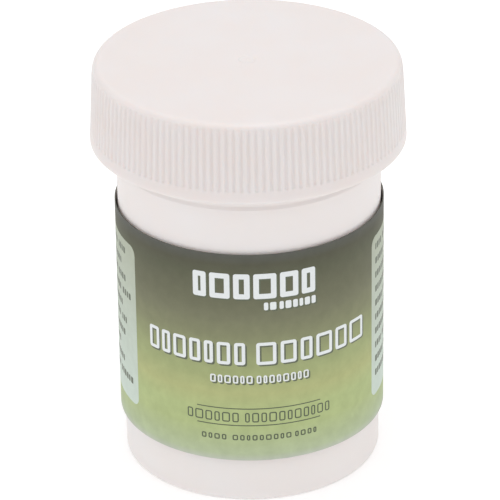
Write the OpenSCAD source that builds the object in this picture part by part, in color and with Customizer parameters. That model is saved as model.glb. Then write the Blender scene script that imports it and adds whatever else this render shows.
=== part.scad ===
// Small plastic powder jar with a screw cap, a loose wrap label and a foam liner.
// Millimetres, +Z up. The origin is the middle of the foot that the jar stands on.

/* [Body] */
// Outside diameter of the body just under the neck
body_d = 34.1; // [24:0.1:60]
// How much smaller the body's radius is at the base, for the mould's draft
body_draft = 0.3; // [0:0.05:1]
// Height of the body, from the foot to the start of the neck
body_h = 42.7; // [30:0.1:80]
// Thickness of the wall under the neck
wall = 1.6; // [1:0.05:2.4]
// Thickness of the floor over the standing ring
floor_t = 1.7; // [1.2:0.05:3]
// Radius of the outside edge at the base
base_edge_r = 0.5; // [0.2:0.05:1.5]
// Radius of the inside corner between wall and floor
floor_corner_r = 1.6; // [0.5:0.1:4]
// Width of the ring that the jar stands on
foot_w = 2.2; // [1:0.1:5]
// Depth of the hollow inside the standing ring
foot_recess = 0.6; // [0.2:0.05:1]
// Height of the moulding bead under the neck
bead_h = 1.55; // [0.6:0.05:3]
// How far the bead stands out from the wall
bead_out = 0.2; // [0.05:0.01:0.5]
// Plain wall between the bead and the start of the neck
bead_gap = 0.45; // [0.1:0.05:2]

/* [Neck] */
// Outside diameter of the neck between its threads
neck_d = 34.2; // [24:0.1:60]
// Height of the neck, from the body to the rim
neck_h = 10.2; // [8:0.1:16]
// Thickness of the neck's wall between its threads
neck_wall = 1.65; // [1:0.05:2.4]
// Radius of the rim's two edges
rim_edge_r = 0.4; // [0.1:0.05:0.7]
// Rise of the thread in one turn
thread_pitch = 4.233; // [3:0.001:5]
// How far the thread stands out from the neck
thread_depth = 1.4; // [0.8:0.05:1.6]
// Width of the neck's thread where it leaves the neck
thread_w = 2.6; // [2.3:0.05:2.9]
// Number of turns of thread
thread_turns = 1.1; // [0.6:0.05:1.2]
// Plain neck between the rim and the top of the thread
thread_start = 1.3; // [0.6:0.05:2.5]
// Angle of a thread's flank from level
flank_angle = 30; // [20:1:35]

/* [Cap] */
// Height of the cap
cap_h = 10.45; // [8:0.05:16]
// Thickness of the cap's top
cap_top_t = 1.2; // [0.8:0.05:3]
// Thickness of the cap's wall at its lower edge
cap_wall = 1.55; // [1:0.05:3]
// How much smaller the cap's radius is at the top, for the mould's draft
cap_draft = 0.55; // [0:0.01:0.6]
// Radius of the edge round the top
cap_edge_r = 1; // [0.3:0.05:2]
// Gap between the neck's thread and the cap's wall
thread_clear = 0.25; // [0.15:0.05:0.6]
// How far the cap's thread stands in from its wall
cap_thread_depth = 1.3; // [0.7:0.05:1.5]
// Width of the cap's thread where it leaves the wall
cap_thread_w = 2.4; // [2.1:0.05:2.7]
// Play between the two threads when the cap is shut
thread_play = 0.12; // [0.05:0.01:0.3]
// Number of grip grooves round the cap
groove_count = 136; // [60:1:160]
// Radius of one grip groove
groove_r = 0.28; // [0.15:0.01:0.4]
// How deep a grip groove is cut
groove_depth = 0.17; // [0.1:0.01:0.35]
// Height of the plain band under the grooves
band_h = 1.45; // [0.8:0.1:4]

/* [Liner] */
// Thickness of the foam liner
liner_t = 1; // [0.5:0.05:2]
// Gap between the liner's edge and the cap's wall
liner_clear = 0.3; // [0.1:0.05:1]

/* [Label] */
// Plain body between the bead and the label's upper edge
label_top_gap = 4.6; // [0.5:0.05:20]
// Plain body between the foot and the label's lower edge
label_z = 6.35; // [2:0.05:20]
// Thickness of the label
label_t = 0.13; // [0.08:0.01:0.3]
// Gap between the body and the label at the label's upper edge
label_gap = 0.25; // [0.1:0.05:0.6]
// Length of the lap where the label's end lies over its start
lap_w = 9; // [4:0.5:20]
// Width of the glue line that holds the label to the body
glue_w = 4; // [2:0.5:12]

/* [Powder] */
// Depth of powder in the jar
fill_h = 30.5; // [10:0.5:38]
// Gap between the powder and the wall
powder_gap = 0.05; // [0.02:0.01:0.3]

/* [Hidden] */

$fn = 96;
body_r = body_d / 2;
base_r = body_r - body_draft;
bore_r = body_r - wall;
neck_r = neck_d / 2;
mouth_r = neck_r - neck_wall;
rim_z = body_h + neck_h;
bead_top = body_h - bead_gap;
bead_low = bead_top - bead_h;
// The bore steps to the mouth's size a wall's thickness from the outside step, on the solid side of it.
step_z = body_h + (mouth_r > bore_r ? wall : -wall);

cap_bore_r = neck_r + thread_depth + thread_clear;
cap_r = cap_bore_r + cap_wall;
cap_roof_z = rim_z + liner_t;
cap_top_z = cap_roof_z + cap_top_t;
cap_low_z = cap_top_z - cap_h;
cap_slope = atan(cap_draft / cap_h);
cap_lead = 0.35;               // chamfer inside the cap's lower edge
cap_lip = 0.15;                // chamfer outside it
cap_thread_gap = 0.1;          // plain wall between the inside chamfer and the cap's thread
liner_thread_gap = 0.3;        // least plain wall between the cap's thread and the liner

groove_low_z = cap_low_z + band_h;
groove_high_z = cap_top_z;      // the grooves run out of the rounded edge

label_top = bead_low - label_top_gap;
label_h = label_top - label_z;
label_r = body_at(label_top) + label_gap;
lap_angle = lap_w / label_r * 180 / PI;
glue_angle = glue_w / label_r * 180 / PI;
BACK = 90;                     // the lap and the glue are behind, on +Y

thread_top_z = rim_z - thread_start - thread_w / 2;
thread_low_z = thread_top_z - thread_pitch * thread_turns;
// The two threads' flanks are parallel, so one distance between their middles holds at every radius.
thread_step = (thread_w + cap_thread_w) / 2
    - (cap_bore_r - neck_r) * tan(flank_angle) + thread_play;
cap_thread_low_z = cap_low_z + cap_lead + cap_thread_gap + cap_thread_w / 2;
// The cap's thread has as many turns as the neck's, or as many as there is room for under the liner.
cap_thread_turns = min(thread_turns,
    (rim_z - liner_thread_gap - cap_thread_w / 2 - cap_thread_low_z) / thread_pitch);
// The cap's thread runs on the neck's helix, one step lower.
cap_thread_from = (cap_thread_low_z + thread_step - thread_low_z) / thread_pitch * 360;

STEPS_PER_TURN = 60;
RUN_OUT = 45;                  // degrees over which a thread's end fades into its wall
END_SIZE = 0.12;               // share of a thread's depth that its ends keep
ROOT = 0.3;                    // how far a thread's root is sunk into its wall
CREST_EDGE = 0.22;             // chamfer on each edge of a thread's crest
LEAST_SHOULDER = 0.3;          // least distance from a thread's middle to where its flank ends

// Radius of the drafted body at a height.
function body_at(z) = base_r + body_draft * min(z, body_h) / body_h;
// Radius of the drafted cap at a height.
function cap_at(z) = cap_r - cap_draft * (z - cap_low_z) / cap_h;
// Points of a quarter arc or less, from one angle to another.
function arc(x, z, r, from, to, steps = 8) =
    [for (i = [0 : steps]) let (a = from + (to - from) * i / steps) [x + r * cos(a), z + r * sin(a)]];

// The wall that the powder lies against, moved in by a gap, from the axis up to a height.
function bore_line(gap, top) = concat(
    [[0, floor_t]],
    arc(bore_r - floor_corner_r, floor_t + floor_corner_r, floor_corner_r - gap, -90, 0),
    [[bore_r - gap, top]]);

// A thread's section: points out from the wall, and height about its middle. w is its width at the
// wall, out is 1 on the neck and -1 in the cap, and size fades the ends. The root is sunk in the wall.
function section(wall_r, depth, w, out, size) =
    let (slope = tan(flank_angle),
         d = depth * size,
         edge = min(CREST_EDGE, d / 2),
         root = w / 2 + ROOT * slope,
         shoulder = max(w / 2 - (d - edge) * slope, LEAST_SHOULDER),
         crest = shoulder - edge)
    [[wall_r - out * ROOT, -root], [wall_r + out * (d - edge), -shoulder], [wall_r + out * d, -crest],
     [wall_r + out * d, crest], [wall_r + out * (d - edge), shoulder], [wall_r - out * ROOT, root]];

// One right-hand thread: sections set along a helix, with both ends fading into the wall.
module thread(wall_r, depth, w, out, low_z, from, turns) {
    steps = ceil(turns * STEPS_PER_TURN);
    count = len(section(wall_r, depth, w, out, 1));
    points = [for (i = [0 : steps])
        let (turned = turns * 360 * i / steps,
             size = max(END_SIZE, min(1, turned / RUN_OUT, (turns * 360 - turned) / RUN_OUT)),
             z = low_z + thread_pitch * turned / 360,
             a = from + turned)
        for (p = section(wall_r, depth, w, out, size)) [p[0] * cos(a), p[0] * sin(a), z + p[1]]];
    sides = [for (i = [0 : steps - 1]) for (j = [0 : count - 1])
        let (k = (j + 1) % count, a = i * count, b = a + count)
        for (t = [[a + j, a + k, b + k], [a + j, b + k, b + j]]) t];
    ends = [[for (j = [count - 1 : -1 : 0]) j], [for (j = [0 : count - 1]) steps * count + j]];
    faces = concat(sides, ends);
    // A section in the cap is a mirror image, so its faces are turned round.
    polyhedron(points, out > 0 ? faces : [for (f = faces) [for (j = [len(f) - 1 : -1 : 0]) f[j]]]);
}

// A tapered straight body with a bead, a neck with one thread, and a shallow hollow under the floor.
module jar() {
    foot_r = base_r - base_edge_r;
    hollow_r = foot_r - foot_w;
    color("white") {
        rotate_extrude() polygon(concat(
            bore_line(0, step_z - bead_gap),
            [[mouth_r, step_z]],
            arc(mouth_r + rim_edge_r, rim_z - rim_edge_r, rim_edge_r, 180, 90),
            arc(neck_r - rim_edge_r, rim_z - rim_edge_r, rim_edge_r, 90, 0),
            [[neck_r, body_h], [body_at(bead_top) + bead_out, bead_top],
             [body_at(bead_low) + bead_out, bead_low + bead_out / 2],
             [body_at(bead_low), bead_low]],
            arc(body_at(base_edge_r) - base_edge_r, base_edge_r, base_edge_r, 0, -90),
            [[hollow_r, 0], [hollow_r - foot_recess, foot_recess], [0, foot_recess]]));
        thread(neck_r, thread_depth, thread_w, 1, thread_low_z, 0, thread_turns);
    }
}

// The fill, with the floor's rounded corner.
module powder() {
    color("khaki") rotate_extrude() polygon(concat(
        bore_line(powder_gap, floor_t + fill_h), [[0, floor_t + fill_h]]));
}

// A paper sleeve, with its end lapped over its start behind the jar.
module label() {
    color("olivedrab") {
        translate([0, 0, label_z]) difference() {
            cylinder(r = label_r + label_t, h = label_h);
            translate([0, 0, -1]) cylinder(r = label_r, h = label_h + 2);
        }
        rotate([0, 0, BACK - lap_angle / 2]) rotate_extrude(angle = lap_angle)
            translate([label_r + label_t / 2, label_z]) square([label_t * 1.5, label_h]);
    }
}

// The line of glue between the body and the label's start.
module label_glue() {
    color("ivory") rotate([0, 0, BACK - glue_angle / 2]) rotate_extrude(angle = glue_angle)
        polygon([[body_at(label_z), label_z], [label_r, label_z],
                 [label_r, label_top], [body_at(label_top), label_top]]);
}

// The foam disc between the rim and the cap's roof.
module cap_liner() {
    color("white") translate([0, 0, rim_z]) cylinder(r = cap_bore_r - liner_clear, h = liner_t);
}

// The cutter of one grip groove, leaning with the cap's draft.
module groove() {
    translate([cap_at(groove_low_z) + groove_r - groove_depth, 0, groove_low_z])
        rotate([0, -cap_slope, 0]) cylinder(r = groove_r, h = groove_high_z - groove_low_z, $fn = 24);
}

// A drafted shell with a rounded top edge, grip grooves above a plain band, and a thread inside.
module cap() {
    top_r = cap_at(cap_top_z);
    color("white") difference() {
        union() {
            rotate_extrude() polygon(concat(
                [[0, cap_roof_z], [cap_bore_r, cap_roof_z],
                 [cap_bore_r, cap_low_z + cap_lead], [cap_bore_r + cap_lead, cap_low_z],
                 [cap_r - cap_lip, cap_low_z], [cap_r, cap_low_z + cap_lip]],
                arc(top_r - cap_edge_r, cap_top_z - cap_edge_r, cap_edge_r, 0, 90),
                [[0, cap_top_z]]));
            thread(cap_bore_r, cap_thread_depth, cap_thread_w, -1,
                cap_thread_low_z, cap_thread_from, cap_thread_turns);
        }
        for (i = [0 : groove_count - 1]) rotate([0, 0, 360 * i / groove_count]) groove();
    }
}

jar();
powder();
label();
label_glue();
cap_liner();
cap();
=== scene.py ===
"""A small white powder jar with a ribbed screw cap and a printed wrap label, built as an add-on would be.

The CAD frame gives every place and outside size. Each new piece is a surface worked out with numpy, in
metres, with its place in its mesh. Heights run along Z from the foot, and the label's front faces -Y.
"""

import math
from functools import partial
from typing import NamedTuple

import bpy
import numpy as np
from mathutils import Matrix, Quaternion, Vector


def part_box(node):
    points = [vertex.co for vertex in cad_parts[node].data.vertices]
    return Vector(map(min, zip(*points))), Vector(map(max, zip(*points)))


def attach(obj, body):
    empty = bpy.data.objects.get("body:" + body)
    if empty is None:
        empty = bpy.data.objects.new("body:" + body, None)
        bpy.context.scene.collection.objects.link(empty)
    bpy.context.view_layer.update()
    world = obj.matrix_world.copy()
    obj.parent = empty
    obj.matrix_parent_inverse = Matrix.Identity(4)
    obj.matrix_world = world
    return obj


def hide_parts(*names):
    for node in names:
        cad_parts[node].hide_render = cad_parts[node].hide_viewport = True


bl_info = {
    "name": "Powder Jar",
    "version": (1, 0, 0),
    "blender": (4, 5, 0),
    "location": "3D View > Sidebar > Powder Jar",
    "description": "Builds a small screw-cap powder jar, its wrap label and a plain stage",
    "category": "Add Mesh",
}

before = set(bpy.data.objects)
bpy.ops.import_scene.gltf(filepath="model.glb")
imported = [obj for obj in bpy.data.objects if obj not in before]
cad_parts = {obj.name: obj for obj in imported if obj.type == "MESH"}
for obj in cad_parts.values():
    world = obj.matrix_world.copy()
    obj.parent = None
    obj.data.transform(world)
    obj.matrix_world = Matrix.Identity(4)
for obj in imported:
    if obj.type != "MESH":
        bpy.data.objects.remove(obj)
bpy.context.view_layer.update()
MM = 0.001
CAP_LOW, CAP_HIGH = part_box("cap")
LABEL_LOW, LABEL_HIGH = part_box("label")
LINER_LOW, LINER_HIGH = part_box("cap_liner")
POWDER_LOW, POWDER_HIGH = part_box("powder")


def length(name, description, default_mm):
    """A size in millimetres, kept in metres as Blender keeps lengths."""
    return bpy.props.FloatProperty(
        name=name, description=description, default=default_mm * MM, min=0, subtype="DISTANCE", precision=5)


def colour(name, description, default):
    """A colour written as an sRGB hex value."""
    return bpy.props.StringProperty(name=name, description=description, default=default)


class CapSizes(bpy.types.PropertyGroup):
    """Sizes of the cap that the frame's box doesn't give."""

    rib_count: bpy.props.IntProperty(
        name="Grooves", description="Grip grooves round the cap", default=136, min=12)
    groove_r: length("Groove radius", "Radius of one groove's round floor", 0.28)
    groove_depth: length("Groove depth", "How deep a groove is cut", 0.17)
    groove_edge: length("Groove edge", "How softly a groove turns into the wall", 0.05)
    band: length("Plain band", "Height of the plain band under the grooves", 1.45)
    fade: length("Groove end", "Height over which a groove rises to the surface", 0.35)
    gate_r: length("Gate mark radius", "Radius of the dish that the mould's gate leaves on top", 1.1)
    gate_depth: length("Gate mark depth", "Depth of that dish", 0.1)
    nub: length("Gate nub", "Height of the nub in the middle of that dish", 0.06)
    nub_r: length("Gate nub radius", "How far that nub spreads", 0.28)
    draft: length("Draft", "How much smaller the radius is at the top", 0.55)
    edge_r: length("Edge radius", "Radius of the edge round the top", 1.0)
    wall: length("Wall", "Thickness of the wall at its lower edge", 1.55)
    lip_r: length("Lip radius", "Radius of the lip's outer edge", 0.15)
    lead: length("Lead-in", "Width of the bevel round the bore's mouth", 0.35)
    roof_r: length("Roof radius", "Radius of the corner between the bore and its roof", 0.3)
    thread_pitch: length("Thread pitch", "Rise of the thread in one turn", 4.233)
    thread_depth: length("Thread depth", "How far the thread stands in from the wall", 1.3)
    thread_w: length("Thread width", "Width of the thread where it leaves the wall", 2.4)
    thread_low: length("Thread start", "Height of the thread's lower end above the cap's lower edge", 1.65)
    thread_turns: bpy.props.FloatProperty(name="Thread turns", description="Turns of thread", default=1.1)
    thread_from: bpy.props.FloatProperty(
        name="Thread angle", description="Angle where the thread's lower end starts",
        default=math.radians(197.6), subtype="ANGLE")


class LabelSizes(bpy.types.PropertyGroup):
    """Sizes and print layout of the wrap label."""

    thickness: length("Thickness", "Thickness of the paper", 0.13)
    lap: length("Lap", "How far the end lies over the start, behind", 9.0)
    ink: length("Ink", "Height of the printed ink", 0.012)
    print_shift: bpy.props.FloatProperty(
        name="Print shift", description="How far round to the right the print is centred", default=1.2 * MM,
        subtype="DISTANCE")


class Finishes(bpy.types.PropertyGroup):
    """Colours of the materials, as sRGB hex values."""

    cap: colour("Cap", "Moulded polypropylene", "#EBE5E4")
    jar: colour("Jar", "Moulded polyethylene", "#F4EFEE")
    paper: colour("Paper", "Back of the label", "#E9E6DF")
    # The edge colour is painted shade: laid dark on the label's cut edges, it stands in for the shadow line
    # in the gap between the label and the jar.
    edge: colour("Edge", "Cut edge of the label, stained by its print", "#6C6D64")
    white_ink: colour("White ink", "Opaque white print", "#EEF2F3")
    dark_ink: colour("Dark ink", "Olive print", "#56604A")
    shadow_ink: colour("Shadow ink", "Olive shadow under the white print", "#5F6650")
    panel_top: colour("Panel top", "Pale side panels at their upper end", "#B3B8A4")
    panel_low: colour("Panel foot", "Pale side panels at their lower end", "#D4E2D9")
    powder: colour("Powder", "Dry mineral powder", "#C9AE6B")
    foam: colour("Foam", "Foamed polyethylene", "#F0EFEA")
    glue: colour("Glue", "Hot-melt glue", "#D9CBA0")


class StageSizes(bpy.types.PropertyGroup):
    """The camera, floor and lights."""

    distance: length("Distance", "From the camera to the point it looks at", 500.0)
    aim: length("Aim", "Height of the point that the camera looks at", 27.86)
    elevation: bpy.props.FloatProperty(
        name="Elevation", description="Camera's angle above the horizon",
        default=math.radians(27.35), subtype="ANGLE")
    roll: bpy.props.FloatProperty(
        name="Roll", description="How far the camera leans to its right",
        default=math.radians(0.84), subtype="ANGLE")
    lens: bpy.props.FloatProperty(
        name="Lens", description="Focal length in millimetres on a 36 mm sensor", default=276.6)
    floor: colour("Floor", "Matt acrylic sweep", "#FCFCFC")
    glow: bpy.props.FloatProperty(
        name="Glow", description="Light that the sweep gives off itself", default=0.2)
    tent: bpy.props.FloatProperty(
        name="Tent", description="Strength of the white tent all round", default=0.6)


# Colours down the label, each with its share of the label's height from the lower edge.
LABEL_GRADIENT = (
    (0.00, "#C1C7B8"), (0.03, "#B8C5A1"), (0.08, "#B5C296"), (0.16, "#B4C189"), (0.24, "#B4C188"),
    (0.33, "#B5BA82"), (0.43, "#A5AE7B"), (0.60, "#898C6B"), (0.70, "#7A7B62"), (0.77, "#6F7059"),
    (0.84, "#686954"), (0.90, "#5F614D"), (0.95, "#585848"), (1.00, "#5C5D57"))
# Each light's place in metres, the side of its square in metres and its power in watts.
SOFTBOXES = {
    "left_softbox": ((-0.5, -0.15, 0.25), 0.4, 0.14),
    "right_softbox": ((0.5, -0.15, 0.25), 0.4, 0.095),
    "back_softbox": ((0, 0.45, 0.5), 0.5, 0.25),
    "front_softbox": ((0, -0.35, 0.6), 0.4, 0.28),
    "top_softbox": ((0, 0, 0.7), 0.5, 1.67),
}
SOFTBOX_AIM = (0, 0, 0.03)
# Share of the ink's height that is sunk in the paper.
INK_SUNK = 0.3
# The golden step: sizes that it varies never come round in step again.
GOLDEN = 0.618034


def linear(text):
    """The linear RGBA of an sRGB hex value such as #AABBCC."""
    parts = [int(text[i:i + 2], 16) / 255 for i in (1, 3, 5)]
    return (*(c / 12.92 if c <= 0.04045 else ((c + 0.055) / 1.055) ** 2.4 for c in parts), 1.0)


def add_node(tree, kind, links=(), **settings):
    """Adds a node. links gives each input's name or number with a value or another node's socket."""
    made = tree.nodes.new("ShaderNode" + kind)
    for key, value in settings.items():
        setattr(made, key, value)
    for key, value in dict(links).items():
        if isinstance(value, bpy.types.NodeSocket):
            tree.links.new(value, made.inputs[key])
        else:
            made.inputs[key].default_value = value
    return made


def new_material(name):
    """An empty material and its node tree."""
    made = bpy.data.materials.new(name)
    made.use_nodes = True
    made.node_tree.nodes.clear()
    return made, made.node_tree


def set_surface(tree, links):
    """Gives a material one principled shader with these inputs."""
    shader = add_node(tree, "BsdfPrincipled", links)
    tree.links.new(shader.outputs[0], add_node(tree, "OutputMaterial").inputs[0])


def own_place(tree):
    """The piece's own coordinates, in metres."""
    return add_node(tree, "TexCoord").outputs["Object"]


def grain(tree, size, spot, detail=3.0):
    """Noise whose blobs are about size metres across."""
    noise = add_node(tree, "TexNoise", {
        "Vector": spot, "Scale": 1 / size, "Detail": detail, "Roughness": 0.55})
    return noise.outputs["Fac"]


def spread(tree, noise, low, high):
    """A noise's usual run of 0.3 to 0.7, spread from low to high."""
    return add_node(tree, "MapRange", {
        "Value": noise, "From Min": 0.3, "From Max": 0.7, "To Min": low, "To Max": high}).outputs[0]


def mottle(tree, shade, noise, low, high):
    """A colour made darker and lighter by a noise, by factors from low to high."""
    return add_node(tree, "VectorMath", {
        0: shade, 1: spread(tree, noise, low, high)}, operation="MULTIPLY").outputs[0]


def moulded_plastic(name, shade, roughness, flow, texture, depth, milk):
    """Injection-moulded polyolefin, milky and satin.

    It is translucent just under the surface, the mould's fine spark-eroded texture breaks up its
    highlights, and slow drifts of tone follow the melt's flow. The real grit is about 0.05 mm; the texture
    is drawn coarser, so that it shows.
    """
    made, tree = new_material(name)
    spot = own_place(tree)
    tone = spread(tree, grain(tree, flow, spot, 2.0), 0.0, 1.0)
    base = linear(shade)
    warm = (base[0], base[1] * 0.975, base[2] * 0.96, 1.0)
    mixed = add_node(tree, "Mix", {0: tone, 6: base, 7: warm}, data_type="RGBA")
    fine = grain(tree, texture, spot)
    bump = add_node(tree, "Bump", {"Height": fine, "Strength": 0.35, "Distance": depth})
    set_surface(tree, {
        "Base Color": mixed.outputs[2], "Roughness": spread(tree, fine, roughness - 0.05, roughness + 0.06),
        "Normal": bump.outputs[0], "IOR": 1.5, "Subsurface Weight": milk,
        "Subsurface Radius": (1.0, 0.85, 0.75), "Subsurface Scale": 0.9 * MM})
    return made


def printed_paper():
    """Matt coated litho paper with a printed blend of olive greens.

    The blend follows the label's own height, the ink is mottled a little over millimetres, and the paper's
    fibres, which run up the jar, break up what sheen the coating has.
    """
    made, tree = new_material("coated_litho_paper")
    place = add_node(tree, "UVMap", uv_map="label_wrap").outputs[0]
    height = add_node(tree, "SeparateXYZ", {0: place}).outputs["Y"]
    spot = own_place(tree)
    ramp = add_node(tree, "ValToRGB", {"Fac": height})
    stops = ramp.color_ramp.elements
    while len(stops) < len(LABEL_GRADIENT):
        stops.new(0.5)
    for stop, (share, shade) in zip(stops, LABEL_GRADIENT):
        stop.position, stop.color = share, linear(shade)
    fibre = add_node(tree, "TexNoise", {
        "Vector": add_node(tree, "Mapping", {"Vector": spot, "Scale": (1.0, 1.0, 0.35)}).outputs[0],
        "Scale": 1 / (0.35 * MM), "Detail": 4.0}).outputs["Fac"]
    bump = add_node(tree, "Bump", {"Height": fibre, "Strength": 0.25, "Distance": 0.02 * MM})
    set_surface(tree, {
        "Base Color": mottle(tree, ramp.outputs[0], grain(tree, 1.6 * MM, spot, 4.0), 0.94, 1.06),
        "Roughness": 0.6, "Normal": bump.outputs[0], "IOR": 1.36})
    return made


def plain_ink(name, shade, roughness=0.42):
    """Offset ink on coated paper: an even film that lets a little of the paper's tooth through."""
    made, tree = new_material(name)
    tooth = grain(tree, 0.3 * MM, own_place(tree))
    base = linear(shade)
    thin = tuple(0.93 * c for c in base[:3]) + (1.0,)
    mixed = add_node(tree, "Mix", {0: tooth, 6: thin, 7: base}, data_type="RGBA")
    bump = add_node(tree, "Bump", {"Height": tooth, "Strength": 0.2, "Distance": 0.01 * MM})
    set_surface(tree, {
        "Base Color": mixed.outputs[2], "Roughness": roughness, "Normal": bump.outputs[0]})
    return made


def panel_ink(finish):
    """A pale tint printed over the blend, so that it is lighter towards the label's foot."""
    made, tree = new_material("pale_tint_ink")
    spot = own_place(tree)
    height = add_node(tree, "SeparateXYZ", {0: spot}).outputs["Z"]
    share = add_node(tree, "MapRange", {
        "Value": height, "From Min": LABEL_LOW.z, "From Max": LABEL_HIGH.z})
    mixed = add_node(tree, "Mix", {
        0: share.outputs[0], 6: linear(finish.panel_low), 7: linear(finish.panel_top)}, data_type="RGBA")
    set_surface(tree, {
        "Base Color": mottle(tree, mixed.outputs[2], grain(tree, 1.2 * MM, spot, 4.0), 0.96, 1.03),
        "Roughness": 0.6, "IOR": 1.36})
    return made


def foamed_polyethylene(shade):
    """Closed-cell foam sheet: soft white, matt, with cells about 0.45 mm across that dimple its face."""
    made, tree = new_material("foamed_polyethylene")
    cells = add_node(tree, "TexVoronoi", {
        "Vector": own_place(tree), "Scale": 1 / (0.45 * MM)}, feature="SMOOTH_F1")
    bump = add_node(tree, "Bump", {
        "Height": cells.outputs["Distance"], "Strength": 0.5, "Distance": 0.05 * MM})
    set_surface(tree, {
        "Base Color": linear(shade), "Roughness": 0.7, "Normal": bump.outputs[0],
        "Subsurface Weight": 0.3, "Subsurface Scale": 0.8 * MM})
    return made


def dry_powder(shade):
    """Ground mineral powder: matt and grainy, with lighter and darker grains and small clumps."""
    made, tree = new_material("ground_mineral_powder")
    spot = own_place(tree)
    grains, clumps = grain(tree, 0.25 * MM, spot, 6.0), grain(tree, 2.0 * MM, spot, 4.0)
    both = add_node(tree, "Math", {0: grains, 1: clumps}, operation="ADD").outputs[0]
    base = linear(shade)
    dark = tuple(0.62 * c for c in base[:3]) + (1.0,)
    share = add_node(tree, "MapRange", {"Value": both, "From Min": 0.7, "From Max": 1.25})
    mixed = add_node(tree, "Mix", {0: share.outputs[0], 6: dark, 7: base}, data_type="RGBA")
    bump = add_node(tree, "Bump", {"Height": both, "Strength": 0.8, "Distance": 0.15 * MM})
    set_surface(tree, {"Base Color": mixed.outputs[2], "Roughness": 0.95, "Normal": bump.outputs[0]})
    return made


def hot_melt(shade):
    """Set hot-melt glue: waxy amber, glossy, a little uneven."""
    made, tree = new_material("hot_melt_glue")
    waves = grain(tree, 1.5 * MM, own_place(tree), 2.0)
    bump = add_node(tree, "Bump", {"Height": waves, "Strength": 0.6, "Distance": 0.1 * MM})
    set_surface(tree, {
        "Base Color": linear(shade), "Roughness": 0.25, "Normal": bump.outputs[0],
        "Subsurface Weight": 0.4, "Subsurface Scale": 1.0 * MM})
    return made


def acrylic_sweep(shade, glow):
    """Matt white acrylic sheet, which gives off a little light of its own."""
    made, tree = new_material("matt_acrylic_sweep")
    set_surface(tree, {
        "Base Color": linear(shade), "Roughness": 0.9, "Emission Color": linear("#FFFFFF"),
        "Emission Strength": glow})
    return made


def quads(rows, cols, wrap_cols=False, first=0):
    """Faces of a grid of rows by cols points, stored row by row, as an array of four indices each."""
    last = cols if wrap_cols else cols - 1
    i, j = np.meshgrid(np.arange(rows - 1), np.arange(last), indexing="ij")
    k = (j + 1) % cols
    corners = [i * cols + j, i * cols + k, (i + 1) * cols + k, (i + 1) * cols + j]
    return first + np.stack(corners, -1).reshape(-1, 4)


def add_piece(name, points, faces, materials, body, replaced=(), indices=None, sharp=40.0):
    """Makes an object that rides on a body, from points and faces.

    It is shaded smooth, but for edges that turn by more than sharp degrees.
    """
    mesh = bpy.data.meshes.new(name)
    mesh.from_pydata(np.asarray(points).reshape(-1, 3).tolist(), [], [list(f) for f in faces])
    for material in materials:
        mesh.materials.append(material)
    if indices is not None:
        mesh.polygons.foreach_set("material_index", np.asarray(indices, np.int32))
    mesh.polygons.foreach_set("use_smooth", np.ones(len(mesh.polygons), bool))
    mesh.set_sharp_from_angle(angle=math.radians(sharp))
    mesh.validate()
    made = bpy.data.objects.new(name, mesh)
    bpy.context.scene.collection.objects.link(made)
    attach(made, body)
    if replaced:
        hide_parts(*replaced)
    return made


def arc(x, z, r, start, end, steps):
    """Points along an arc in the profile plane, from one angle to another in degrees."""
    a = np.radians(np.linspace(start, end, steps))
    return np.stack([x + r * np.cos(a), z + r * np.sin(a)], -1)


def rings(profile, cols, shift=None):
    """A profile of radius and height turned about Z, as rows of points.

    A point is (r cos a, r sin a, z), where shift(r, z, a), if there is one, is added to r first.
    """
    r, z = (np.repeat(profile[:, k, None], cols, 1) for k in (0, 1))
    a = np.broadcast_to(np.arange(cols) * 2 * np.pi / cols, r.shape)
    if shift is not None:
        r = r + shift(r, z, a)
    return np.stack([r * np.cos(a), r * np.sin(a), z], -1)


def fan(ring, pole, outwards):
    """Triangles from a ring of indices to a pole's index."""
    after = np.roll(ring, -1)
    mid = np.full_like(ring, pole)
    return np.stack([ring, after, mid] if outwards else [after, ring, mid], -1)


def smooth(share):
    """An even rise from 0 to 1 that starts and ends level: 3 t^2 - 2 t^3."""
    return share * share * (3 - 2 * share)


def closed_rings(points, low, high):
    """Points and faces of a solid from rows of points, with a pole at the height low and one at high."""
    rows, cols = points.shape[:2]
    count = rows * cols
    faces = quads(rows, cols, True).tolist() + fan(np.arange(cols), count, False).tolist()
    faces += fan(np.arange(cols) + count - cols, count + 1, True).tolist()
    return np.concatenate([points.reshape(-1, 3), [[0, 0, low], [0, 0, high]]]), faces


def cap_wall_r(s, z):
    """Radius of the cap's outer wall at a height, which the draft makes smaller upwards."""
    return CAP_HIGH.x - s.draft * (z - CAP_LOW.z) / (CAP_HIGH.z - CAP_LOW.z)


def cap_groove(s, r, z, a):
    """Shift of r that cuts the grip grooves from the cap's outside.

    A groove is a straight round channel of depth d = sqrt(R^2 - x^2) - (R - depth), where x is the distance
    round the wall to the channel's middle, so it runs out of the rounded edge above. Its own edges are
    rounded by (d + sqrt(d^2 + e^2)) / 2 in place of d, and its lower end fades into the plain band.
    """
    pitch = 2 * np.pi / s.rib_count
    aside = np.abs((a + pitch / 2) % pitch - pitch / 2) * CAP_HIGH.x
    cut = np.sqrt(np.clip(s.groove_r**2 - aside**2, 0, None)) - (s.groove_r - s.groove_depth)
    cut = (cut + np.sqrt(cut * cut + s.groove_edge**2)) / 2
    rise = np.clip((z - CAP_LOW.z - s.band) / s.fade, 0, 1)
    floor = cap_wall_r(s, z) - cut * smooth(rise)
    return np.where(r > 0.9 * CAP_HIGH.x, np.minimum(0, floor - r), 0)


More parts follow.
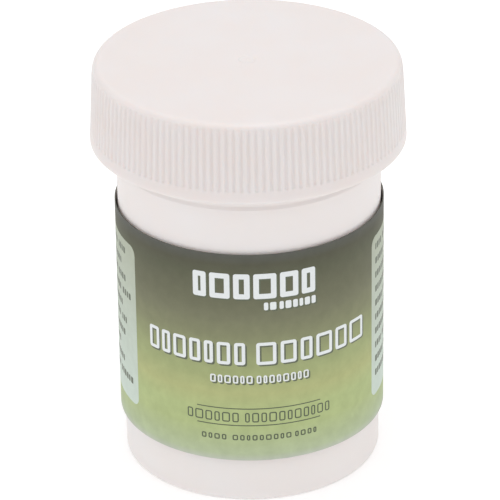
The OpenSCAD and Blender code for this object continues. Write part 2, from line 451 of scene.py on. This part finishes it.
def cap_thread(s, r, z, a):
    """Shift of r that raises the thread from the cap's bore.

    At angle a the nearest winding is t = share + round((z - start) / pitch - share) turns up the helix. The
    thread is a trapezium with 30 degree flanks, and it fades out over an eighth of a turn at both ends.
    """
    start = CAP_LOW.z + s.thread_low
    share = (a - s.thread_from) / (2 * np.pi) % 1
    along = share + np.round((z - start) / s.thread_pitch - share)
    aside = np.abs(z - start - along * s.thread_pitch)
    fade = np.clip(np.minimum(along, s.thread_turns - along) * 8, 0, 1)
    flank = (s.thread_w / 2 - aside) / math.tan(math.radians(30))
    on_bore = r > CAP_HIGH.x - s.wall - 1e-6
    return -np.clip(flank, 0, s.thread_depth) * fade * on_bore


def cap_outside(s):
    """The cap's outside in profile, from its lip up the wall and over the rounded edge to the gate's mark.

    The mark is a dish D sqrt(1 - (r / R)^2) deep, with a nub h exp(-(r / w)^2) tall in its middle.
    """
    low, high = CAP_LOW.z, CAP_HIGH.z
    top_r = cap_wall_r(s, high)
    climb = np.concatenate([
        [low + s.lip_r, low + s.band * 0.6, low + s.band],
        low + s.band + s.fade * np.linspace(0.2, 1, 5),
        np.linspace(low + s.band + s.fade * 1.5, high - 1.6 * s.edge_r, 3)])
    gate = s.gate_r * np.array([1.15, 1.0, 0.98, 0.92, 0.8, 0.6, 0.45, 0.34, 0.24, 0.14, 0.05])
    dish = s.gate_depth * np.sqrt(np.clip(1 - (gate / s.gate_r)**2, 0, 1))
    return np.concatenate([
        arc(CAP_HIGH.x - s.lip_r, low + s.lip_r, s.lip_r, -90, 0, 5)[:-1],
        np.stack([cap_wall_r(s, climb), climb], -1),
        arc(top_r - s.edge_r, high - s.edge_r, s.edge_r, 0, 90, 19),
        [[top_r - 1.5 * s.edge_r, high], [top_r * 0.6, high], [top_r * 0.2, high]],
        np.stack([gate, high - dish + s.nub * np.exp(-(gate / s.nub_r)**2)], -1)])


def cap_inside(s):
    """The cap's inside in profile, from its flat roof round a small corner and down the bore."""
    low, roof, bore = CAP_LOW.z, LINER_HIGH.z, CAP_HIGH.x - s.wall
    rows = 64
    wall = np.linspace(roof - s.roof_r * 4 / 3, low + s.lead, rows)
    return np.concatenate([
        [[0.3 * bore, roof], [bore - 2 * s.roof_r, roof]],
        arc(bore - s.roof_r, roof - s.roof_r, s.roof_r, 90, 0, 5),
        np.stack([np.full(rows, bore), wall], -1),
        [[bore + s.lead * 0.5, low + s.lead * 0.3], [bore + s.lead, low]]])


def cap_surface(s):
    """The cap as points and faces: the grooved outside, the threaded inside and the lip that joins them.

    Each groove takes ten points round. The inside has a fifth of the outside's points round, so each face of
    the lip spans five of the outside's.
    """
    outer, inner, share = cap_outside(s), cap_inside(s), 5
    fine = s.rib_count * 10
    coarse = fine // share
    outside = rings(outer, fine, partial(cap_groove, s)).reshape(-1, 3)
    inside = rings(inner, coarse, partial(cap_thread, s)).reshape(-1, 3)
    poles = [[0, 0, CAP_HIGH.z - s.gate_depth + s.nub], [0, 0, LINER_HIGH.z]]
    first_in, top_pole = len(outside), len(outside) + len(inside)
    faces = quads(len(outer), fine, True).tolist() + quads(len(inner), coarse, True, first_in).tolist()
    faces += fan(np.arange(fine) + (len(outer) - 1) * fine, top_pole, True).tolist()
    faces += fan(np.arange(coarse) + first_in, top_pole + 1, False).tolist()
    j = np.arange(coarse)
    mouth = first_in + (len(inner) - 1) * coarse + j
    next_mouth = np.roll(mouth, -1)
    lip = (j[:, None] * share + np.arange(share + 1)) % fine
    faces += np.concatenate([next_mouth[:, None], mouth[:, None], lip], 1).tolist()
    return np.concatenate([outside, inside, poles]), faces


def liner_surface():
    """The liner as points and faces: a flat disc with small round edges.

    The ring at flat_r keeps the shading of the edge off the flat of the underside.
    """
    low, high, radius = LINER_LOW.z, LINER_HIGH.z, LINER_HIGH.x
    edge_r, flat_r = 0.12 * MM, 17.4 * MM
    profile = np.concatenate([
        [[radius * 0.5, low], [flat_r, low]],
        arc(radius - edge_r, low + edge_r, edge_r, -90, 0, 5),
        arc(radius - edge_r, high - edge_r, edge_r, 0, 90, 5),
        [[radius * 0.5, high]]])
    return closed_rings(rings(profile, 192), low, high)


def powder_surface():
    """The fill as points and faces: a plug with a round lower edge and a loose, uneven top.

    In millimetres, its top lies 0.75 under the frame's height, give or take low hills of
    0.35 sin(0.55 x + 0.3) cos(0.43 y - 0.7) + 0.18 sin(1.7 x - 0.9 y) and a fine ripple.
    """
    low, high, radius = POWDER_LOW.z, POWDER_HIGH.z, POWDER_HIGH.x
    corner, rows = 1.6 * MM, 60
    side = np.concatenate([
        [[radius * 0.3, low]], arc(radius - corner, low + corner, corner, -90, 0, 8)])
    top = np.stack([radius * np.linspace(1, 0.02, rows), np.full(rows, high)], -1)
    points = rings(np.concatenate([side, top]), 200)
    loose = points[len(side):]
    x, y = loose[..., 0] / MM, loose[..., 1] / MM
    hills = 0.35 * np.sin(0.55 * x + 0.3) * np.cos(0.43 * y - 0.7) + 0.18 * np.sin(1.7 * x - 0.9 * y)
    ripple = 0.05 * np.sin(5.1 * x + 2.0 * np.sin(3.3 * y)) * np.cos(4.7 * y + 1.7 * np.sin(2.9 * x))
    loose[..., 2] -= (0.75 - hills - ripple) * MM
    return closed_rings(points, low, high - 0.6 * MM)


def label_radius(turn, sizes):
    """Outside radius of the wrapped sheet at an angle from the front, in radians.

    Its end climbs over its start within an angle of step.
    """
    paper, step = LABEL_HIGH.x, 0.09
    lap_from = np.pi - sizes.lap / paper / 2 - step
    return paper + sizes.thickness * smooth(np.clip((turn - lap_from) / step, 0, 1))


def wrapped(turn, r, z):
    """Points at an angle from the front, positive to the right: (r sin t, -r cos t, z)."""
    return np.stack([r * np.sin(turn), -r * np.cos(turn), np.broadcast_to(z, np.shape(turn))], -1)


def label_surface(sizes):
    """The label as one sheet of paper, closed round its four edges, with its wrap coordinates.

    A thin rectangle, up the outside and down the inside, is carried round the jar. Faces take the printed
    paper outside, the cut edge above and below in a dark colour that is painted shade, and the bare paper
    inside and at both ends.
    """
    half = np.pi + sizes.lap / LABEL_HIGH.x / 2
    turn = np.linspace(-half, half, 721)
    heights = np.linspace(LABEL_LOW.z, LABEL_HIGH.z, 13)
    out_r = label_radius(turn, sizes)
    outer = np.stack([wrapped(turn, out_r, z) for z in heights], 1)
    inner = np.stack([wrapped(turn, out_r - sizes.thickness, z) for z in heights[::-1]], 1)
    ring = np.concatenate([outer, inner], 1)
    cols = ring.shape[1]
    count = len(turn)
    body = quads(count, cols, True)[:, ::-1]
    ends = [list(range(cols)), list(range((count - 1) * cols, count * cols))[::-1]]
    faces = body.tolist() + ends
    part = np.arange(len(body)) % cols
    inside = (part >= len(heights)) & (part < cols - 1)
    # The top and bottom cut-edge faces get the dark edge colour, which is painted shade.
    edge = (part == len(heights) - 1) | (part == cols - 1)
    indices = np.concatenate([np.where(inside, 1, np.where(edge, 2, 0)), [1, 1]])
    share = np.concatenate([np.linspace(0, 1, len(heights)), np.linspace(1, 0, len(heights))])
    wrap = np.stack(np.broadcast_arrays((turn[:, None] / np.pi + 1) / 2, share[None, :]), -1).reshape(-1, 2)
    return ring.reshape(-1, 3), faces, indices, wrap


class Mark(NamedTuple):
    """A rounded block of ink. Its middle is given round the label and up; with a stroke it is hollow."""

    middle: float
    height: float
    width: float
    tall: float
    corner: float
    stroke: float


class Row(NamedTuple):
    """What a row of letter-sized blocks shares: middle height, sizes and the gap between blocks."""

    height: float
    tall: float
    mean: float
    gap: float
    corner: float
    stroke: float = 0.0


def solid_mark(mark, sizes, level, shift):
    """A solid block of ink, as points and faces.

    Its outline's half height is h(x) = H - c + sqrt(c^2 - max(0, |x| - (W - c))^2), and that outline, given
    the ink's thickness, is carried along the label. The root stays over 0.03 c, which gives the two ends a
    little height to close on.
    """
    c = min(mark.corner, mark.width / 2, mark.tall / 2) * 0.999
    level_x = mark.width / 2 - c
    ends = level_x + c * np.sin(np.linspace(0, np.pi / 2, 6))
    steps = max(2, int(mark.width / (0.8 * MM)) + 1)
    x = np.concatenate([-ends[::-1], np.linspace(-level_x, level_x, steps + 1)[1:-1], ends])
    tail = np.clip(np.abs(x) - level_x, 0, c)
    half = mark.tall / 2 - c + np.sqrt(np.maximum(c * c - tail * tail, (0.03 * c) ** 2))
    turn = (mark.middle + shift[0] + x) / LABEL_HIGH.x
    paper = label_radius(turn, sizes)
    under, over = paper - INK_SUNK * sizes.ink, paper + level * sizes.ink
    z = mark.height + shift[1]
    corners = ((over, z - half), (over, z + half), (under, z + half), (under, z - half))
    points = np.stack([wrapped(turn, r, up) for r, up in corners], 1).reshape(-1, 3)
    n = len(points)
    closing = [[0, 1, 2, 3], [n - 1, n - 2, n - 3, n - 4]]
    return points, np.concatenate([quads(len(x), 4, True)[:, ::-1], closing])


def rounded_outline(width, tall, corner, steps):
    """A closed rounded rectangle as (x, z) points, anticlockwise, with steps points on each level side."""
    c = max(min(corner, width / 2, tall / 2), 0.02 * MM)
    right, up = width / 2 - c, tall / 2 - c
    level = np.stack([np.linspace(right, -right, steps + 2)[1:-1], np.full(steps, tall / 2)], -1)
    return np.concatenate([
        arc(right, up, c, 0, 90, 5), level, arc(-right, up, c, 90, 180, 5),
        arc(-right, -up, c, 180, 270, 5), -level, arc(right, -up, c, 270, 360, 5)])


def hollow_mark(mark, sizes, level, shift):
    """A hollow block of ink: a small rectangle, stroke wide, carried round the block's outline."""
    steps = max(1, int(mark.width / (0.5 * MM)))
    outer, inner = (
        rounded_outline(mark.width - 2 * inset, mark.tall - 2 * inset, mark.corner - inset, steps)
        for inset in (0, mark.stroke))
    ring = []
    for line, rise in ((outer, level), (inner, level), (inner, -INK_SUNK), (outer, -INK_SUNK)):
        turn = (mark.middle + shift[0] + line[:, 0]) / LABEL_HIGH.x
        r = label_radius(turn, sizes) + rise * sizes.ink
        ring.append(wrapped(turn, r, mark.height + shift[1] + line[:, 1]))
    points = np.stack(ring, 1).reshape(-1, 3)
    return points, quads(len(outer) + 1, 4, True)[:, ::-1] % len(points)


def printed_marks(marks, sizes, level, shift):
    """All the marks of one ink, as points and faces. level is their share of the ink's full height."""
    points, faces, count = [], [], 0
    for mark in marks:
        make = hollow_mark if mark.stroke else solid_mark
        more, rest = make(mark, sizes, level, shift)
        points.append(more)
        faces += (rest + count).tolist()
        count += len(more)
    return np.concatenate(points), faces


def word_blocks(start, end, row, seed=0):
    """Marks in place of letters between two places round the label.

    The golden step varies their widths, from 0.72 to 1.28 times as wide before they are fitted in.
    """
    count = max(1, round((end - start + row.gap) / (row.mean + row.gap)))
    weight = 0.72 + 0.56 * ((np.arange(count) + seed) * GOLDEN % 1)
    width = weight / weight.sum() * (end - start - row.gap * (count - 1))
    left = start + np.concatenate([[0], np.cumsum(width + row.gap)[:-1]])
    return [Mark(a + w / 2, row.height, w, row.tall, row.corner, row.stroke) for a, w in zip(left, width)]


def text_lines(start, end, low, high, seed):
    """Lines of stand-in words, 2.2 to 6.6 mm long and ragged on the right, that fill a column."""
    first, pitch, space, least = 0.5, 2.05, 0.8, 1.6
    marks = []
    for k, z in enumerate(np.arange(high - first, low, -pitch)):
        row = Row(height=z, tall=0.92, mean=0.55, gap=0.22, corner=0.16)
        place, word = start, 0
        stop = end - (0.2 + 1.5 * ((k * 5 + seed) % 3))
        while place < stop - least:
            size = 2.2 + 4.4 * ((k * 3.7 + word * 2.3 + seed) * GOLDEN % 1)
            size = min(size, stop - place)
            marks += word_blocks(place, place + size, row, k + word)
            place, word = place + size + space, word + 1
    return marks


def label_layout(shift):
    """The marks of each ink, in millimetres: panels, dark marks, shadows and white marks.

    The front's rows and rules are moved round to the right by shift. The side panels stay where they are.
    """
    def words(start, end, row, seed=0):
        return word_blocks(start + shift, end + shift, row, seed)

    bold_row = Row(height=31.63, tall=3.55, mean=2.25, gap=0.45, corner=0.3, stroke=0.72)
    maker_row = Row(height=28.76, tall=1.1, mean=0.62, gap=0.22, corner=0.2)
    title_row = Row(height=21.97, tall=3.2, mean=1.5, gap=0.5, corner=0.35, stroke=0.45)
    wide_row = title_row._replace(mean=2.15, gap=0.55)
    second_row = Row(height=18.25, tall=1.15, mean=0.68, gap=0.26, corner=0.25, stroke=0.2)
    claim_row = Row(height=12.68, tall=1.4, mean=0.82, gap=0.3, corner=0.25, stroke=0.17)
    foot_row = Row(height=9.72, tall=0.8, mean=0.62, gap=0.27, corner=0.2, stroke=0.17)
    white = words(-8.7, 7.3, bold_row)
    white += words(0.45, 2.05, maker_row) + words(2.45, 7.35, maker_row, 2)
    white += words(-15.8, -2.0, title_row, 1) + words(-0.6, 15.55, wide_row, 3)
    white += words(-6.6, -1.1, second_row, 1) + words(-0.6, 6.3, second_row, 4)
    dark = words(-9.85, -2.95, claim_row, 2) + words(-2.15, 9.35, claim_row, 5)
    dark += words(-7.9, -4.6, foot_row, 1) + words(-3.8, 3.85, foot_row, 3)
    dark += words(4.35, 7.35, foot_row, 2)
    dark += [Mark(shift - 0.27, z, 16.45, 0.14, 0.07, 0.0) for z in (13.95, 11.5)]
    panels, margin = [], 1.2
    for start, end in ((-49.0, -17.6), (19.3, 50.0)):
        panels.append(Mark((start + end) / 2, 21.47, end - start, 23.25, 1.2, 0.0))
        dark += text_lines(start + margin, end - margin, 11.4, 32.0, int(start) % 7)
    return {"panel": panels, "shadow": white, "dark": dark, "white": white}


def in_metres(marks):
    """Marks with their millimetres turned to metres."""
    return [Mark(*(value * MM for value in mark)) for mark in marks]


class PieceOperator:
    """What every piece's operator shares."""

    bl_options = {"REGISTER", "UNDO"}


class POWDERJAR_OT_cap(PieceOperator, bpy.types.Operator):
    """Make the ribbed cap in place of its CAD node"""

    bl_idname = "powder_jar.cap"
    bl_label = "Cap"

    def execute(self, context):
        scene = context.scene
        points, faces = cap_surface(scene.powder_jar_cap)
        plastic = moulded_plastic(
            "polypropylene_moulded", scene.powder_jar_finish.cap, roughness=0.42, flow=9 * MM,
            texture=0.3 * MM, depth=0.02 * MM, milk=0.55)
        add_piece("cap_shell", points, faces, [plastic], "cap", ["cap"], sharp=75)
        return {"FINISHED"}


class POWDERJAR_OT_jar(PieceOperator, bpy.types.Operator):
    """Give the jar and its glue line their materials"""

    bl_idname = "powder_jar.jar"
    bl_label = "Jar"

    def execute(self, context):
        finish = context.scene.powder_jar_finish
        plastic = moulded_plastic(
            "polyethylene_moulded", finish.jar, roughness=0.46, flow=14 * MM,
            texture=0.35 * MM, depth=0.015 * MM, milk=0.25)
        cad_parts["jar"].data.materials[0] = plastic
        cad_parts["label_glue"].data.materials[0] = hot_melt(finish.glue)
        return {"FINISHED"}


class POWDERJAR_OT_label(PieceOperator, bpy.types.Operator):
    """Make the label's sheet and the marks printed on it"""

    bl_idname = "powder_jar.label"
    bl_label = "Label"

    def execute(self, context):
        sizes, finish = context.scene.powder_jar_label, context.scene.powder_jar_finish
        points, faces, indices, wrap = label_surface(sizes)
        papers = [
            printed_paper(), plain_ink("bare_paper", finish.paper, 0.8),
            # The cut edges' dark colour is painted shade, for the shadow line between the label and the jar.
            plain_ink("cut_edge_painted_shadow", finish.edge, 0.8)]
        sheet = add_piece("label_sheet", points, faces, papers, "jar", ["label"], indices)
        layer = sheet.data.uv_layers.new(name="label_wrap")
        loops = np.empty(len(sheet.data.loops), np.int32)
        sheet.data.loops.foreach_get("vertex_index", loops)
        layer.data.foreach_set("uv", wrap[loops].astype(np.float32).ravel())
        layout = label_layout(sizes.print_shift / MM)
        shadow_shift = (0.22 * MM, -0.22 * MM)
        inks = {
            "panel": (panel_ink(finish), 0.4, (0, 0)),
            "shadow": (plain_ink("shadow_ink", finish.shadow_ink), 0.6, shadow_shift),
            "dark": (plain_ink("olive_ink", finish.dark_ink), 0.9, (0, 0)),
            "white": (plain_ink("white_ink", finish.white_ink), 1.0, (0, 0)),
        }
        for name, (material, level, shift) in inks.items():
            points, faces = printed_marks(in_metres(layout[name]), sizes, level, shift)
            add_piece("label_print_" + name, points, faces, [material], "jar")
        return {"FINISHED"}


class POWDERJAR_OT_liner(PieceOperator, bpy.types.Operator):
    """Make the foam liner"""

    bl_idname = "powder_jar.liner"
    bl_label = "Liner"

    def execute(self, context):
        points, faces = liner_surface()
        foam = foamed_polyethylene(context.scene.powder_jar_finish.foam)
        add_piece("liner_disc", points, faces, [foam], "liner", ["cap_liner"])
        return {"FINISHED"}


class POWDERJAR_OT_powder(PieceOperator, bpy.types.Operator):
    """Make the fill with its loose, uneven top"""

    bl_idname = "powder_jar.powder"
    bl_label = "Powder"

    def execute(self, context):
        points, faces = powder_surface()
        powder = dry_powder(context.scene.powder_jar_finish.powder)
        add_piece("powder_fill", points, faces, [powder], "jar", ["powder"])
        return {"FINISHED"}


def place_facing(made, place, direction, roll=0.0):
    """Puts a camera or a light at a place, with its -Z along a direction, leaning right by roll."""
    made.location = place
    made.rotation_mode = "QUATERNION"
    made.rotation_quaternion = direction.to_track_quat("-Z", "Y") @ Quaternion((0, 0, 1), -roll)
    bpy.context.scene.collection.objects.link(made)


def add_camera(s):
    """The camera, at its distance from its aim along its elevation, and leaning by its roll."""
    data = bpy.data.cameras.new("camera")
    data.lens, data.sensor_width, data.clip_start, data.clip_end = s.lens, 36.0, 0.01, 20.0
    camera = bpy.data.objects.new("camera", data)
    back = Vector((0, -math.cos(s.elevation), math.sin(s.elevation)))
    place_facing(camera, Vector((0, 0, s.aim)) + back * s.distance, -back, s.roll)
    bpy.context.scene.camera = camera


def add_floor(s):
    """The pale plane under the jar."""
    side = 3.0
    mesh = bpy.data.meshes.new("floor")
    mesh.from_pydata(
        [(-side, -side, 0), (side, -side, 0), (side, side, 0), (-side, side, 0)], [], [(0, 1, 2, 3)])
    mesh.materials.append(acrylic_sweep(s.floor, s.glow))
    floor = bpy.data.objects.new("floor", mesh)
    bpy.context.scene.collection.objects.link(floor)


def add_tent(strength):
    """The even white light from all round."""
    world = bpy.data.worlds.new("tent")
    world.use_nodes = True
    background = world.node_tree.nodes["Background"]
    background.inputs["Color"].default_value = linear("#FFFFFF")
    background.inputs["Strength"].default_value = strength
    bpy.context.scene.world = world


def add_softbox(name, place, size, power):
    """A soft square light that faces the jar."""
    data = bpy.data.lights.new(name, "AREA")
    data.shape, data.size, data.energy = "SQUARE", size, power
    place_facing(bpy.data.objects.new(name, data), place, Vector(SOFTBOX_AIM) - Vector(place))


class POWDERJAR_OT_stage(PieceOperator, bpy.types.Operator):
    """Set up the camera, the pale floor and the soft lights"""

    bl_idname = "powder_jar.stage"
    bl_label = "Stage"

    def execute(self, context):
        s = context.scene.powder_jar_stage
        add_camera(s)
        add_floor(s)
        add_tent(s.tent)
        for name, (place, size, power) in SOFTBOXES.items():
            add_softbox(name, place, size, power)
        context.scene.view_settings.view_transform = "Standard"
        return {"FINISHED"}


class POWDERJAR_PT_panel(bpy.types.Panel):
    """Lists the pieces in the sidebar"""

    bl_label = "Powder Jar"
    bl_idname = "POWDERJAR_PT_panel"
    bl_space_type = "VIEW_3D"
    bl_region_type = "UI"
    bl_category = "Powder Jar"

    def draw(self, context):
        for operator in OPERATORS:
            self.layout.operator(operator.bl_idname)
        for key in SETTINGS:
            group = getattr(context.scene, key)
            box = self.layout.box()
            box.label(text=key.replace("powder_jar_", "").capitalize())
            for name in group.bl_rna.properties.keys():
                if name not in ("rna_type", "name"):
                    box.prop(group, name)


SETTINGS = {
    "powder_jar_cap": CapSizes,
    "powder_jar_label": LabelSizes,
    "powder_jar_finish": Finishes,
    "powder_jar_stage": StageSizes,
}
OPERATORS = (
    POWDERJAR_OT_stage,
    POWDERJAR_OT_jar,
    POWDERJAR_OT_powder,
    POWDERJAR_OT_label,
    POWDERJAR_OT_liner,
    POWDERJAR_OT_cap,
)


def register():
    """Registers every class, and the settings on the scene."""
    for cls in (*SETTINGS.values(), *OPERATORS, POWDERJAR_PT_panel):
        bpy.utils.register_class(cls)
    for key, cls in SETTINGS.items():
        setattr(bpy.types.Scene, key, bpy.props.PointerProperty(type=cls))


def unregister():
    """Takes the settings and classes away again."""
    for key in SETTINGS:
        delattr(bpy.types.Scene, key)
    for cls in reversed((*SETTINGS.values(), *OPERATORS, POWDERJAR_PT_panel)):
        bpy.utils.unregister_class(cls)


def main():
    """Builds the whole jar."""
    register()
    for operator in OPERATORS:
        group, name = operator.bl_idname.split(".")
        getattr(getattr(bpy.ops, group), name)()


if __name__ == "__main__":
    main()
